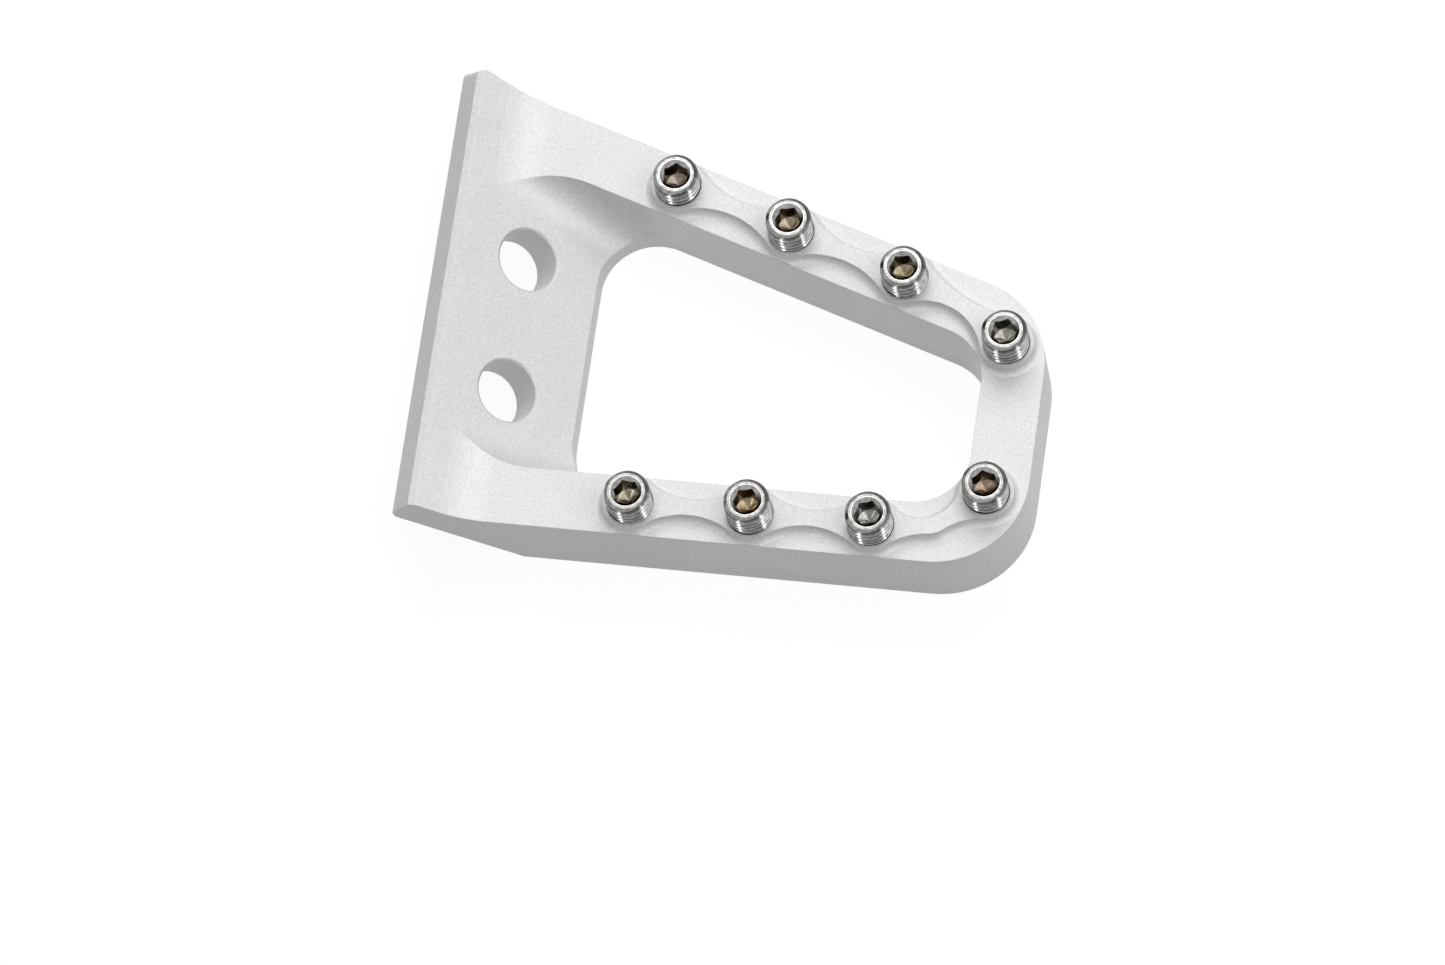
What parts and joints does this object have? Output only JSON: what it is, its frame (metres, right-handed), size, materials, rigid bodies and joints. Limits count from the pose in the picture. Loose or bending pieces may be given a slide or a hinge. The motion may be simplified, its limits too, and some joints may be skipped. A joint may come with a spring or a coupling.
{
  "type": "brake pedal step plate",
  "caption": "Foot plate of a motorcycle rear brake lever: an open machined aluminium loop with screwed-in grip studs and a tilted bolting flange",
  "frame": {"origin": "Under the middle of the plate, on the plane of the loop's flat underside", "axes": "+X along the lower bar from the flange to the free end, +Y from the lower bar to the upper bar, +Z out of the tread along the studs"},
  "size_m": [0.0812, 0.0624, 0.0181],
  "materials": {
    "plate_aluminium": "bead blasted and clear anodised, matt silver",
    "stud_steel": "bright plated steel"
  },
  "bodies": {
    "root": {"step_plate": "plate_aluminium", "grip_stud_1": "stud_steel", "grip_stud_2": "stud_steel", "grip_stud_3": "stud_steel", "grip_stud_4": "stud_steel", "grip_stud_5": "stud_steel", "grip_stud_6": "stud_steel", "grip_stud_7": "stud_steel", "grip_stud_8": "stud_steel"}
  },
  "joints": []
}
